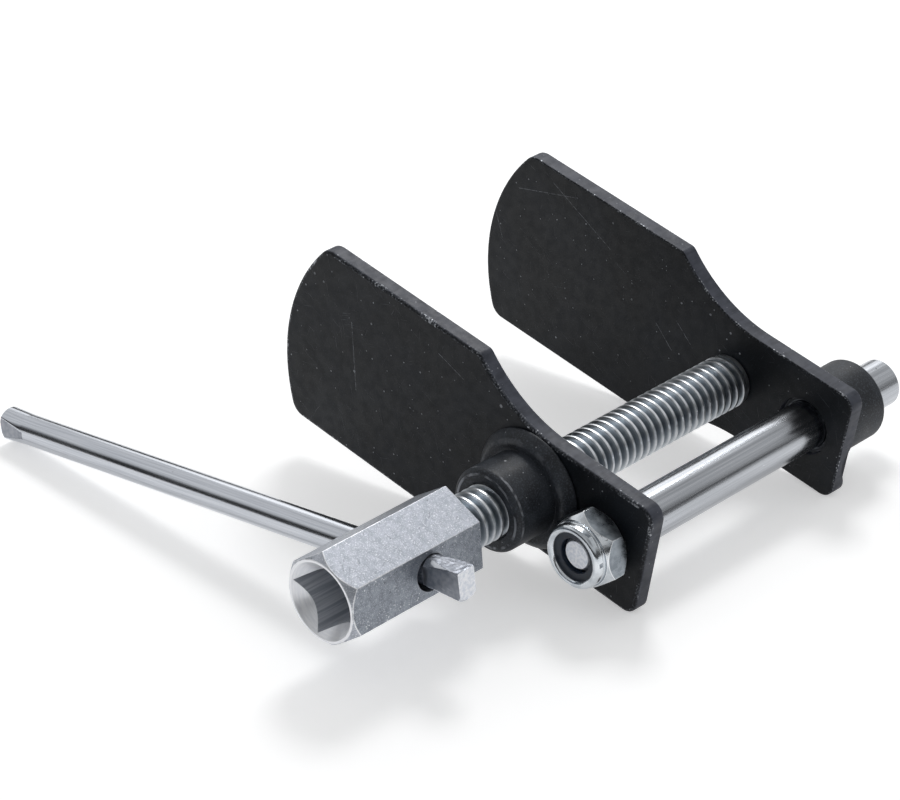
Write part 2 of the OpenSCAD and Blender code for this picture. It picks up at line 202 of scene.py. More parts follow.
def hairs(tree, place, *rows):
    """Thin, slightly curved lines. Each row gives their turn in Euler degrees, their length and width
    in mm, and how common they are. Before they turn, they lie in planes across Z and run along X."""
    swing = add(tree, "noise vector", place, per_mm(HAIR_SWAY_MM))
    swayed = add(tree, "vector plus", place, add(tree, "vector times", swing, HAIR_SWING_MM * MM))
    lines = 0.0
    for turn, length_mm, width_mm, share in rows:
        turned = add(tree, "turn", swayed, [math.radians(t) for t in turn])
        grain = streaks(tree, turned, (length_mm, length_mm, width_mm), 1.0)
        line = add(tree, "step", grain, 1.0 - share, 1.0 - share + HAIR_EDGE)
        lines = add(tree, "most", lines, line)
    return lines


def scored_line(tree, place, start_mm, end_mm, width_mm):
    """One scratch from start to end, broken up along its length."""
    start, end = Vector(start_mm) * MM, Vector(end_mm) * MM
    span = end - start
    from_start = add(tree, "vector minus", place, start)
    along = add(tree, "hold", add(tree, "dot", from_start, span.normalized()), 0.0, span.length)
    foot = add(tree, "vector times", span.normalized(), along)
    apart = add(tree, "apart", from_start, foot)
    line = add(tree, "step", apart, width_mm * 0.5 * MM, width_mm * MM, 1.0, 0.0)
    gaps = add(tree, "noise", place, per_mm(SCORE_GAP_MM), 2.0)
    return add(tree, "times", line, add(tree, "step", gaps, 0.35, 0.6, 0.2, 1.0))


def finish(name):
    """Tree of a new material, its shader and the object's own coordinates."""
    made = bpy.data.materials.new(name)
    made.use_nodes = True
    tree = made.node_tree
    return tree, tree.nodes["Principled BSDF"], add(tree, "place")


# Materials

# Deep scratches on the plates' faces: the face's place along Y, then X and Z in mm of both ends
SCORE_WIDTH_MM = 0.13
PLATE_SCORES = (
    (rear_low.y, (-70.5, 28.4), (-50.5, 32.1)),
    (rear_low.y, (-58.6, 33.6), (-39.6, 21.7)),
    (rear_low.y, (-78.6, 19.0), (-76.4, 12.4)),
    (rear_low.y, (-24.1, 6.6), (-19.0, 0.9)),
    (rear_low.y, (-17.6, 9.6), (-12.9, 4.7)),
    (front_low.y, (-58.1, 22.1), (-57.3, 4.0)),
    (front_low.y, (-29.0, 24.4), (-20.9, 20.5)),
)


def black_oxide_sheared_steel():
    """Steel plate, sheared and then blackened in a hot oxide bath: a thin oily black with a low sheen.
    The sheared walls are paler: partly their own sheared finish, partly a painted sheen for the light from
    above that they catch. Handling leaves dust, scratches and bare steel along the edges."""
    tree, shader, place = finish("black_oxide_sheared_steel")
    cloud = add(tree, "noise", place, per_mm(14), 5.0)
    grit = add(tree, "noise", place, per_mm(0.4), 2.0)
    base = tones(tree, cloud, "#0e1115", "#161a20", (0.35, 0.68))
    base = add(tree, "mix", add(tree, "step", grit, 0.5, 0.8, 0.0, 0.55), base, linear("#31363d"))

    facing = add(tree, "without sign", add(tree, "y of", add(tree, "normal")))
    wall = add(tree, "step", facing, 0.2, 0.75, 1.0, 0.0)
    shear = streaks(tree, place, (1.1, 7, 1.1), 2.0)
    stain = add(tree, "noise", place, per_mm(3.5), 4.0)
    wall_grain_and_sheen = add(tree, "plus", add(tree, "times", shear, 0.4), add(tree, "times", stain, 0.6))
    # Paler tone on the walls: partly the sheared finish, partly a painted sheen for the light from above
    base = add(tree, "mix", wall, base, tones(tree, wall_grain_and_sheen, "#383b44", "#4e515b", (0.32, 0.68)))

    hair = hairs(tree, place, ((0, 31, 0), 9, 0.16, 0.24), ((0, -64, 0), 6, 0.16, 0.235),
                 ((0, 78, 0), 12, 0.16, 0.235), ((0, -12, 0), 7, 0.16, 0.23))
    base = cover(tree, base, hair, 0.5, "#5b5f66")
    score = 0.0
    for y, *ends in PLATE_SCORES:
        start_mm, end_mm = [(x, y / MM, z) for x, z in ends]
        score = add(tree, "most", score, scored_line(tree, place, start_mm, end_mm, SCORE_WIDTH_MM))
    base = cover(tree, base, score, 0.55, "#8d9096")
    specks = dust(tree, place, (1.4, 0.38, 0.18), (3.2, 0.5, 0.13), (9.0, 0.5, 0.07))
    base = cover(tree, base, specks, add(tree, "step", cloud, 0.4, 0.62, 0.4, 0.95), "#a3a6ac")

    chip = add(tree, "noise", place, per_mm(0.5), 3.0)
    patch = add(tree, "noise", place, per_mm(6), 1.0)
    rubbed = add(tree, "plus", add(tree, "plus", chip, add(tree, "wear")), add(tree, "times", patch, 0.6))
    scuff = add(tree, "step", rubbed, 1.7, 2.05, 0.0, 0.7)
    bare = add(tree, "step", rubbed, 1.93, 2.0)
    base = add(tree, "mix", scuff, base, linear("#6f737a"))
    base = add(tree, "mix", bare, base, linear("#b0b3b9"))
    rough = add(tree, "noise", place, per_mm(2.5), 3.0)
    height = add(tree, "minus", grit, add(tree, "most", hair, score))
    fill(tree, shader, {
        "Base Color": base,
        "Metallic": add(tree, "times", bare, 0.7),
        "Roughness": add(tree, "step", rough, *NOISE_SPAN, 0.4, 0.54),
        "Specular IOR Level": 0.22,
        "Normal": add(tree, "bump", height, 0.4, 0.03 * MM),
    })


def black_oxide_turned_steel():
    """Turned bush under the same black, with rubbed rings on its edges."""
    tree, shader, place = finish("black_oxide_turned_steel")
    cloud = add(tree, "noise", place, per_mm(5), 4.0)
    grit = add(tree, "noise", place, per_mm(0.4), 2.0)
    turning = streaks(tree, place, (6, 0.35, 6), 1.0)
    base = tones(tree, cloud, "#202328", "#32363c", (0.35, 0.68))
    base = add(tree, "mix", add(tree, "step", grit, 0.45, 0.75, 0.0, 0.7), base, linear("#4b5058"))
    specks = dust(tree, place, (1.0, 0.3, 0.17), (3.0, 0.4, 0.12))
    base = cover(tree, base, specks, 0.85, "#b0b3b8")
    patch = add(tree, "noise", place, per_mm(3.5), 3.0)
    bare = add(tree, "times", add(tree, "wear"), add(tree, "step", patch, 0.42, 0.58))
    base = cover(tree, base, bare, 0.7, "#9fa2a8")
    fill(tree, shader, {
        "Base Color": base,
        "Metallic": add(tree, "times", bare, 0.7),
        "Roughness": add(tree, "step", cloud, *NOISE_SPAN, 0.44, 0.58),
        "Specular IOR Level": 0.32,
        "Normal": add(tree, "bump", add(tree, "plus", turning, grit), 0.3, 0.03 * MM),
    })


def zinc_plated_hexagon_bar():
    """Hexagon bar with a hot-rolled skin under bright zinc: a frosted grey with fine pale crystals,
    dark nicks and drag marks. The two flats that face along X take a darker copy of the finish: painted
    shade standing in for the shadowed floor that they reflect."""
    for name, dark, pale, crystal, rub in (
        ("zinc_plated_hexagon_bar", "#a6abb4", "#b9bdc6", "#e3e5ea", 0.35),
        # Darker copy of the finish for the two flats along X: painted shade
        ("zinc_plated_painted_shade_flat", "#80858e", "#949aa2", "#b6bac1", 0.6),
    ):
        tree, shader, place = finish(name)
        frost = add(tree, "noise", place, per_mm(0.3), 2.0)
        blotch = add(tree, "noise", place, per_mm(1.6), 4.0)
        base = tones(tree, blotch, dark, pale)
        base = add(tree, "mix", add(tree, "step", frost, 0.5, 0.72, 0.0, 0.85), base, linear(crystal))
        nicks = dust(tree, place, (2.4, 0.3, 0.13), (0.9, 0.12, 0.22))
        base = cover(tree, base, nicks, 0.65, "#4c5058")
        base = cover(tree, base, dust(tree, place, (0.75, 0.45, 0.26)), 0.7, "#f1f3f6")
        drags = hairs(tree, place, ((24, 0, 0), 3.5, 0.3, 0.3), ((-38, 0, 0), 5, 0.2, 0.27))
        base = cover(tree, base, drags, rub, "#5d626a")
        worn = add(tree, "step", blotch, 0.3, 0.6, 0.25, 0.6)
        base = cover(tree, base, add(tree, "wear"), worn, "#f6f7f9")
        height = add(tree, "minus", add(tree, "minus", frost, drags), nicks)
        fill(tree, shader, {
            "Base Color": base,
            "Metallic": 1.0,
            "Roughness": add(tree, "step", frost, *NOISE_SPAN, 0.52, 0.38),
            "Normal": add(tree, "bump", height, 0.6, 0.05 * MM),
        })


def zinc_plated_turned_mouth():
    """Turned rim and countersink under bright zinc: smooth and pale, with faint rings of the tool."""
    tree, shader, place = finish("zinc_plated_turned_mouth")
    rings = streaks(tree, place, (3, 0.3, 3), 2.0)
    base = tones(tree, rings, "#e4e6eb", "#f0f1f4")
    base = cover(tree, base, dust(tree, place, (2.0, 0.25, 0.12)), 0.6, "#60646b")
    base = add(tree, "mix", add(tree, "wear"), base, linear("#f0f1f4"))
    fill(tree, shader, {
        "Base Color": base,
        "Metallic": 0.75,
        "Roughness": add(tree, "step", rings, *NOISE_SPAN, 0.36, 0.42),
    })


def broached_socket_wall():
    """Broached square, thinly plated: dull grey, with the broach's lines running into the socket. Its pale
    tone is partly painted light, standing in for light that enters the socket.
    """
    tree, shader, place = finish("broached_socket_wall")
    lines = streaks(tree, place, (0.55, 30, 0.55), 3.0)
    fill(tree, shader, {
        # Pale base: partly painted light inside the socket
        "Base Color": tones(tree, lines, "#a9aeb7", "#d3d6dc", (0.32, 0.68)),
        "Metallic": 0.1,
        "Roughness": add(tree, "step", lines, *NOISE_SPAN, 0.5, 0.38),
        "Normal": add(tree, "bump", lines, 0.5, 0.08 * MM),
    })


def zinc_plated_rolled_thread():
    """Rolled thread under bright zinc: smooth bluish flanks whose darker tone is partly painted shade for
    the grooves, and crests, with the plain ring at the end, made pale partly by handling wear and partly
    as a painted highlight.
    """
    tree, shader, place = finish("zinc_plated_rolled_thread")
    cloud = add(tree, "noise", place, per_mm(2.2), 4.0)
    # Darker base on the flanks: partly painted shade for the grooves
    base = tones(tree, cloud, "#8b9299", "#a1a8af")
    rubbed = add(tree, "step", cloud, 0.3, 0.55, 0.7, 1.0)
    # Pale crests and end ring: partly handling wear, partly painted highlight
    base = cover(tree, base, add(tree, "wear"), rubbed, "#e4e7ea")
    fill(tree, shader, {
        "Base Color": base,
        "Metallic": 1.0,
        "Roughness": add(tree, "step", cloud, *NOISE_SPAN, 0.32, 0.42),
    })


def passivated_zinc_nut():
    """Cold-formed nut under passivated zinc: bright and smooth, with soft die marks."""
    tree, shader, place = finish("passivated_zinc_nut")
    cloud = add(tree, "noise", place, per_mm(3), 3.0)
    base = tones(tree, cloud, "#c3c9cf", "#e0e4e8")
    base = cover(tree, base, add(tree, "wear"), 0.8, "#f4f5f6")
    base = cover(tree, base, dust(tree, place, (1.3, 0.3, 0.13)), 0.4, "#6c7071")
    grain = add(tree, "noise", place, per_mm(0.9), 3.0)
    fill(tree, shader, {
        "Base Color": base,
        "Metallic": 1.0,
        "Roughness": add(tree, "step", cloud, *NOISE_SPAN, 0.14, 0.22),
        "Normal": add(tree, "bump", grain, 0.25, 0.08 * MM),
    })


def painted_shade_nut_flat():
    """Flats of the nut, thinly plated: slate grey with die lines and scuffs. The slate grey, darker than
    the rest of the nut, is painted shade for the dark plate that the flats reflect.
    """
    tree, shader, place = finish("painted_shade_nut_flat")
    cloud = add(tree, "noise", place, per_mm(2.5), 4.0)
    lines = streaks(tree, place, (0.4, 6, 0.4), 2.0)
    # Base darker than the nut's own: painted shade
    base = tones(tree, cloud, "#7a8188", "#9ca3aa", (0.35, 0.65))
    base = add(tree, "mix", add(tree, "step", lines, 0.5, 0.75, 0.0, 0.4), base, linear("#a5abb2"))
    rubbed = add(tree, "times", add(tree, "wear"), 0.8)
    scuffs = add(tree, "most", rubbed, dust(tree, place, (1.1, 0.3, 0.16)))
    base = cover(tree, base, scuffs, 0.8, "#d9dde1")
    fill(tree, shader, {
        "Base Color": base,
        "Metallic": 1.0,
        "Roughness": add(tree, "step", cloud, *NOISE_SPAN, 0.24, 0.36),
        "Normal": add(tree, "bump", lines, 0.2, 0.04 * MM),
    })


def polished_hard_chrome():
    """Ground rod under hard chrome: a soft mirror, drawn out along the rod, with pits and rubbed spots."""
    tree, shader, place = finish("polished_hard_chrome")
    streak = streaks(tree, place, (0.6, 40, 0.6), 2.0)
    base = tones(tree, streak, "#a8abb0", "#bcbfc4")
    base = cover(tree, base, dust(tree, place, (3.5, 0.2, 0.09), (1.2, 0.12, 0.13)), 0.7, "#4d5056")
    base = cover(tree, base, dust(tree, place, (1.7, 0.2, 0.1)), 0.7, "#eceef0")
    fill(tree, shader, {
        "Base Color": base,
        "Metallic": 1.0,
        "Roughness": add(tree, "step", streak, *NOISE_SPAN, 0.19, 0.27),
        "Normal": add(tree, "bump", streak, 0.12, 0.02 * MM),
    })


def bright_drawn_bar():
    """Cold-drawn bar, zinc plated: long die lines, a soft mirror across them."""
    tree, shader, place = finish("bright_drawn_bar")
    level = add(tree, "turn", place, bar_axis.to_track_quat("X", "Z").to_euler())
    streak = streaks(tree, level, (25, 0.5, 0.5), 3.0)
    base = tones(tree, streak, "#b0b4bb", "#c6c9cf")
    base = cover(tree, base, dust(tree, place, (2.2, 0.3, 0.1)), 0.5, "#6b6e75")
    dents = add(tree, "noise", place, per_mm(1.1), 3.0)
    fill(tree, shader, {
        "Base Color": base,
        "Metallic": 1.0,
        "Roughness": add(tree, "step", streak, *NOISE_SPAN, 0.13, 0.21),
        "Normal": add(tree, "bump", add(tree, "plus", streak, dents), 0.2, 0.035 * MM),
    })


def sawn_zinc_plated_steel():
    """Sawn or turned end under zinc: matte light grey."""
    tree, shader, place = finish("sawn_zinc_plated_steel")
    cloud = add(tree, "noise", place, per_mm(0.8), 4.0)
    fill(tree, shader, {
        "Base Color": tones(tree, cloud, "#d6dbe4", "#fafbfe"),
        "Metallic": 0.8,
        "Roughness": add(tree, "step", cloud, *NOISE_SPAN, 0.4, 0.52),
        "Normal": add(tree, "bump", cloud, 0.4, 0.06 * MM),
    })


def pressed_bar_flat():
    """Flat that the press left on the bar's end: dull and even, with a few drag marks."""
    tree, shader, place = finish("pressed_bar_flat")
    cloud = add(tree, "noise", place, per_mm(1.5), 4.0)
    base = tones(tree, cloud, "#7c8088", "#989ba2")
    base = cover(tree, base, hairs(tree, place, ((0, 8, 0), 4, 0.25, 0.28)), 0.5, "#cfd2d7")
    fill(tree, shader, {
        "Base Color": base,
        "Metallic": 1.0,
        "Roughness": add(tree, "step", cloud, *NOISE_SPAN, 0.32, 0.44),
        "Normal": add(tree, "bump", cloud, 0.25, 0.05 * MM),
    })


def phosphated_spring_steel():
    """Stamped circlip steel under zinc phosphate: a dry dark grey."""
    tree, shader, place = finish("phosphated_spring_steel")
    cloud = add(tree, "noise", place, per_mm(0.6), 3.0)
    base = tones(tree, cloud, "#1f2022", "#323437")
    fill(tree, shader, {
        "Base Color": cover(tree, base, add(tree, "wear"), 0.4, "#777a7f"),
        "Metallic": 0.0,
        "Roughness": add(tree, "step", cloud, *NOISE_SPAN, 0.5, 0.65),
    })


def moulded_nylon():
    """Moulded nylon ring, dyed dark blue: a soft satin plastic."""
    tree, shader, place = finish("moulded_nylon")
    cloud = add(tree, "noise", place, per_mm(1.5), 3.0)
    fill(tree, shader, {
        "Base Color": tones(tree, cloud, "#081524", "#0f2033"),
        "Roughness": 0.42,
        "IOR": 1.53,
        "Normal": add(tree, "bump", cloud, 0.2, 0.05 * MM),
    })


# Mesh tools

# Distances below which CAD points are welded, points of a cut are one, heights are level, points of a
# profile are one, and points lie on the axis
WELD = 0.002 * MM
SAME_PLACE = 0.0001 * MM
CLOSE = 0.01 * MM
SAME_POINT = 0.02 * MM
ON_AXIS = 0.3 * MM

# Angles below which faces are one flat, from which an edge is rounded, and from which shading breaks
COPLANAR = math.radians(0.4)
SHARP = math.radians(28)
STILL_SHARP = math.radians(40)

# Weight of large flats in the normals, faces across a rounding, the most of a side that the rounding of
# a corner takes, and steps round a turned piece
FLAT_WEIGHT = 80
ROUNDING_STEPS = 4
CORNER_SHARE = 0.4
STEPS_ROUND = 128


def new_piece(name, solid, node, materials):
    """Puts a finished bmesh in place of a CAD node, on that node's body and with its slot. It is smooth
    apart from the edges that are still sharp, and its large flats set the normals beside them."""
    bmesh.ops.recalc_face_normals(solid, faces=solid.faces)
    for face in solid.faces:
        face.smooth = True
    for edge in solid.edges:
        edge.smooth = not edge.is_manifold or edge.calc_face_angle() < STILL_SHARP
    mesh = bpy.data.meshes.new(name)
    solid.to_mesh(mesh)
    solid.free()
    for material in materials:
        mesh.materials.append(bpy.data.materials[material])
    made = bpy.data.objects.new(name, mesh)
    bpy.context.scene.collection.objects.link(made)
    weighting = made.modifiers.new("flats", "WEIGHTED_NORMAL")
    weighting.keep_sharp = True
    weighting.weight = FLAT_WEIGHT
    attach(made, body_of_node[node])
    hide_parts(node)


def cut_across(solid, point, facing, faces=None):
    """Adds edges where a plane crosses a bmesh, or crosses some of its faces."""
    faces = list(solid.faces if faces is None else faces)
    edges = dict.fromkeys(edge for face in faces for edge in face.edges)
    corners = dict.fromkeys(vertex for face in faces for vertex in face.verts)
    crossed = [*corners, *edges, *faces]
    bmesh.ops.bisect_plane(solid, geom=crossed, dist=SAME_PLACE, plane_co=point, plane_no=facing)


def eased_solid(node, radius, strip, rims=()):
    """A CAD solid with its sharp edges rounded. A strip beside each rounding keeps the flats flat.
    rims gives (test of an edge, radius) for edges that are rounded more or less than the rest."""
    solid = bmesh.new()
    solid.from_mesh(frame["nodes"][node].data)
    bmesh.ops.remove_doubles(solid, verts=solid.verts, dist=WELD)
    bmesh.ops.dissolve_limit(solid, angle_limit=COPLANAR, verts=solid.verts, edges=solid.edges)
    rounded = set()
    for test, size in [*rims, (lambda edge: True, radius)]:
        edges = [e for e in solid.edges if e.is_manifold and e.calc_face_angle() > SHARP]
        edges = [e for e in edges if not rounded.intersection(e.link_faces) and test(e)]
        made = bmesh.ops.bevel(solid, geom=edges, offset=size, offset_type="OFFSET",
                               segments=ROUNDING_STEPS, profile=0.5, affect="EDGES", clamp_overlap=True)
        rounded.update(made["faces"])
    flats = [f for f in solid.faces if f not in rounded]
    bmesh.ops.inset_region(solid, faces=flats, thickness=strip, use_even_offset=True, use_boundary=True)
    wear = solid.verts.layers.float.new("wear")
    for face in rounded:
        if face.is_valid:
            for vertex in face.verts:
                vertex[wear] = 1.0
    low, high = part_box(node)
    for vertex in solid.verts:
        vertex.co = [min(max(c, a), b) for c, a, b in zip(vertex.co, low, high)]
    return solid


def ring_skin(rings, hollow=False):
    """Skin over rings of equal count, closed by a face at each end, or back to its start if hollow."""
    solid = bmesh.new()
    rows = [[solid.verts.new(point) for point in ring] for ring in rings]
    count = len(rows[0])
    for row, following in zip(rows, rows[1:] + rows[:1] if hollow else rows[1:]):
        for i in range(count):
            j = (i + 1) % count
            solid.faces.new((row[i], row[j], following[j], following[i]))
    if not hollow:
        solid.faces.new(list(reversed(rows[0])))
        solid.faces.new(rows[-1])
    return solid


def from_axis(vertex, axis_x, axis_z):
    """Distance of a vertex from a line along Y."""
    return math.hypot(vertex.co.x - axis_x, vertex.co.z - axis_z)


def circle(axis_x, axis_z, y, radius):
    """Points round a line along Y."""
    angles = [2 * math.pi * i / STEPS_ROUND for i in range(STEPS_ROUND)]
    return [Vector((axis_x + math.sin(a) * radius, y, axis_z + math.cos(a) * radius)) for a in angles]


def turned_profile(node, axis_x, axis_z):
    """Stations along Y and radii of a turned CAD solid, in order from its drive end."""
    points = []
    for vertex in frame["nodes"][node].data.vertices:
        radius = from_axis(vertex, axis_x, axis_z)
        if radius > ON_AXIS:
            points.append((vertex.co.y, radius))
    kept = []
    for point in sorted(points):
        if all(math.dist(point, other) > SAME_POINT for other in kept):
            kept.append(point)
    ordered = [kept.pop(0)]
    while kept:
        station = kept[0][0]
        level = [p for p in kept if p[0] - station < SAME_POINT]
        level.sort(key=lambda p: abs(p[1] - ordered[-1][1]))
        ordered += level
        kept = [p for p in kept if p not in level]
    return ordered


def eased_profile(points, radius):
    """A profile with its corners rounded."""
    made = [points[0]]
    for before, corner, after in zip(points, points[1:], points[2:]):
        corner = Vector(corner)
        back, ahead = Vector(before) - corner, Vector(after) - corner
        reach = min(radius, back.length * CORNER_SHARE, ahead.length * CORNER_SHARE)
        start, end = corner + back.normalized() * reach, corner + ahead.normalized() * reach
        middle = (start + corner * 2 + end) / 4
        made += [tuple(start), tuple(middle), tuple(end)]
    return made + [points[-1]]


def between(points, x):
    """Value at x of a line through points, held level beyond its ends."""
    for (x0, y0), (x1, y1) in zip(points, points[1:]):
        if x <= x1:
            return y0 + (y1 - y0) * max(x - x0, 0.0) / (x1 - x0)
    return points[-1][1]


def eased_min(first, second, width):
    """The smaller of two values, with the corner between them rounded over width."""
    near = max(width - abs(first - second), 0.0) / width
    return min(first, second) - near * near * width / 4


# Black steel pieces

BUSH_R = 11 * MM


def by_bushes(vertex):
    """Whether a plate's vertex lies by the hub or the rod, where nothing rubs."""
    return min(from_axis(vertex, 0, 0), from_axis(vertex, rod_x, rod_z)) <= BUSH_R


def plates():
    """Stamped plates: the die rolls over the edge it enters by, and leaves the other edge sharp."""
    for node, low, roll in (("front_plate", front_low, 0.8 * MM), ("rear_plate", rear_low, 0.4 * MM)):
        def enters(edge, y=low.y):
            return all(abs(v.co.y - y) < CLOSE and not by_bushes(v) for v in edge.verts)

        solid = eased_solid(node, radius=0.2 * MM, strip=0.8 * MM, rims=[(enters, roll)])
        wear = solid.verts.layers.float["wear"]
        for vertex in solid.verts:
            if by_bushes(vertex):
                vertex[wear] = 0.0
        if node == "rear_plate":
            scooped_tail(solid)
        new_piece(node + "_stamped", solid, node, ["black_oxide_sheared_steel"])


def scooped_tail(solid):
    """Grinds a shallow hollow in the back edge of the rear plate's tail, below the rod."""
    lean = math.radians(11.0)
    up = Vector((math.sin(lean), 0, math.cos(lean)))
    out = Vector((math.cos(lean), 0, -math.sin(lean)))
    rod_centre = Vector((rod_x, 0, rod_z))
    top, bottom, width, depth = 1.0 * MM, -12.0 * MM, 1.8 * MM, 2.2 * MM
    back_layer, slack = 0.9 * MM, 0.05 * MM
    steps = 10
    strip_start = max((v.co - rod_centre).dot(out) for v in solid.verts) - width
    cut_across(solid, rod_centre + out * strip_start, out)
    for k in range(steps + 1):
        strip = [f for f in solid.faces if (f.calc_center_median() - rod_centre).dot(out) > strip_start]
        cut_across(solid, rod_centre + up * (bottom + (top - bottom) * k / steps), up, strip)
    for vertex in solid.verts:
        arm = vertex.co - rod_centre
        share = (arm.dot(up) - bottom) / (top - bottom)
        at_back = vertex.co.y > rear_high.y - back_layer
        if at_back and arm.dot(out) > strip_start + slack and 0 < share < 1:
            vertex.co.y -= depth * math.sin(math.pi * share) ** 2


# The hub's collar beside the plate, as (radius, height above the plate's face) in mm: an undercut seam,
# a slope up to a ridge and a hollow at the barrel's foot
COLLAR_MM = ((14.75, 0.0), (14.75, 0.2), (15.1, 0.35), (15.0, 0.8), (14.4, 1.6), (13.6, 2.4), (13.0, 2.9),
             (12.5, 3.1), (11.9, 3.05), (11.1, 2.85), (10.5, 2.8))


def hub():
    """Turned hub with a raised collar, blackened with the plate. The two edges of the rounding at its end
    are rubbed bright, and the collar's ridge a little."""
    low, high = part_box("spindle_hub")
    length_mm, spigot_l_mm = (front_low.y - low.y) / MM, (high.y - front_low.y) / MM
    bore_mm, spigot_mm, body_mm = 6.9, 9.0, 10.5
    rounding_mm, sink_mm, corner_mm = 1.3, 0.3, 0.15
    steps = 10
    # Places beside the rounding where its wear has faded out
    fade_mm = 0.35
    unworn_side_mm, unworn_end_mm = length_mm - rounding_mm - fade_mm, 8.75
    outline = [(bore_mm, -spigot_l_mm), (spigot_mm, -spigot_l_mm), (spigot_mm, 0.0), *COLLAR_MM]
    outline.append((body_mm, unworn_side_mm))
    for k in range(steps + 1):
        turn = math.pi / 2 * k / steps
        radius = body_mm - rounding_mm * (1 - math.cos(turn))
        outline.append((radius, length_mm - rounding_mm * (1 - math.sin(turn))))
    outline += [(unworn_end_mm, length_mm), (bore_mm + sink_mm, length_mm)]
    outline.append((bore_mm, length_mm - sink_mm))

    end_mm, side_mm = body_mm - rounding_mm, length_mm - rounding_mm
    end_reach_mm, side_reach_mm = 0.4, 0.3
    level_mm, barrel_slack_mm = 0.02, 0.1
    ridge_mm, ridge_reach_mm, ridge_foot_mm = 12.6, 0.6, 2.5
    edge_rub, ridge_rub = 1.0, 0.2
    rings, worn = [], []
    for radius, height in eased_profile(outline, corner_mm):
        at_end = abs(height - length_mm) < level_mm and abs(radius - end_mm) < end_reach_mm
        at_side = abs(height - side_mm) < side_reach_mm and radius > body_mm - barrel_slack_mm
        on_ridge = abs(radius - ridge_mm) < ridge_reach_mm and height > ridge_foot_mm
        worn += [edge_rub if at_end or at_side else ridge_rub if on_ridge else 0.0] * STEPS_ROUND
        rings.append(circle(0, 0, front_low.y - height * MM, radius * MM))
    solid = ring_skin(rings, hollow=True)
    wear = solid.verts.layers.float.new("wear")
    for vertex, share in zip(solid.verts, worn):
        vertex[wear] = share
    new_piece("spindle_hub_turned", solid, "spindle_hub", ["black_oxide_turned_steel"])


def guide_sleeve():
    """Plain turned sleeve, blackened with the plate."""
    solid = eased_solid("guide_sleeve", radius=0.18 * MM, strip=0.25 * MM)
    new_piece("guide_sleeve_turned", solid, "guide_sleeve", ["black_oxide_turned_steel"])


# Screw with its head

def spindle():
    """Rolled thread of the joint's own pitch with narrow crests, a plain ring at its end, and the journal.
    The thread's rows follow the helix, so that its crests are smooth lines."""
    profile = turned_profile("spindle", 0.0, 0.0)
    crest = max(r for _, r in profile)
    full = [y for y, r in profile if r > crest - CLOSE]
    start, end = min(full), max(full)
    depth = 1.35 * MM
    crest_share, root_share, straight_share = 0.26, 0.26, 0.55
    crest_wear_and_highlight_power = 4
    ring_l, ring_drop, ring_bevel = 1.1 * MM, 0.35 * MM, 0.35 * MM
    thread_end = end - ring_l
    end_slack, end_easing = 0.005 * MM, 0.1 * MM
    count = 96
    steps_per_turn = 18
    solid = bmesh.new()
    wear = solid.verts.layers.float.new("wear")

    def climb(y, turn):
        """Height of the thread's profile, from 0 at its root to 1 on its crest."""
        rise = abs((y / pitch - turn) % 1.0 - 0.5) * 2
        share = min(max((rise - root_share) / (1 - crest_share - root_share), 0.0), 1.0)
        return straight_share * share + (1 - straight_share) * share * share * (3 - 2 * share)

    def point(y, i, radius, rubbed):
        """Vertex at a station, i steps round the axis."""
        angle = 2 * math.pi * i / count
        made = solid.verts.new((math.sin(angle) * radius, y, math.cos(angle) * radius))
        made[wear] = rubbed
        return made

    def face(*corners):
        """Face on its corners, left out where they fall together."""
        corners = list(dict.fromkeys(corners))
        if len(corners) > 2:
            solid.faces.new(corners)

    rows = []
    steps = math.ceil((thread_end - start) / pitch * steps_per_turn)
    for k in range(-steps_per_turn, steps + 1):
        row = []
        for i in range(count):
            y = min(max(start + (k / steps_per_turn + i / count) * pitch, start), thread_end)
            share = climb(y, i / count)
            row.append(point(y, i, crest - depth * (1 - share), share ** crest_wear_and_highlight_power))
        rows.append(row)
    last = len(rows) - 1
    for k in range(last):
        for i in range(count - 1):
            face(rows[k][i], rows[k][i + 1], rows[k + 1][i + 1], rows[k + 1][i])
        beside, above = (rows[min(k + steps_per_turn + s, last)][0] for s in (0, 1))
        face(rows[k][-1], beside, above, rows[k + 1][-1])

    before = [(y, r) for y, r in profile if y < start - end_slack]
    shoulder, *journal = [(y, r) for y, r in profile if y > end + end_slack]
    ring_r = crest - ring_drop
    after = [(thread_end, ring_r), (end, ring_r), (shoulder[0], ring_r - ring_bevel), *journal]
    head_rings = [[point(y, i, r, 0.0) for i in range(count)] for y, r in before] + [rows[0]]
    tail_rings = [rows[last]]
    # The plain ring takes full wear: painted pale like the crests, partly wear and partly painted
    # highlight
    for y, r in eased_profile(after, end_easing):
        tail_rings.append([point(y, i, r, 1.0 if y < shoulder[0] else 0.0) for i in range(count)])
    for rings in (head_rings, tail_rings):
        for ring, following in zip(rings, rings[1:]):
            for i in range(count):
                j = (i + 1) % count
                face(ring[i], ring[j], following[j], following[i])
    face(*reversed(head_rings[0]))
    face(*tail_rings[-1])
    bmesh.ops.remove_doubles(solid, verts=solid.verts, dist=SAME_PLACE)
    new_piece("spindle_thread", solid, "spindle", ["zinc_plated_rolled_thread"])


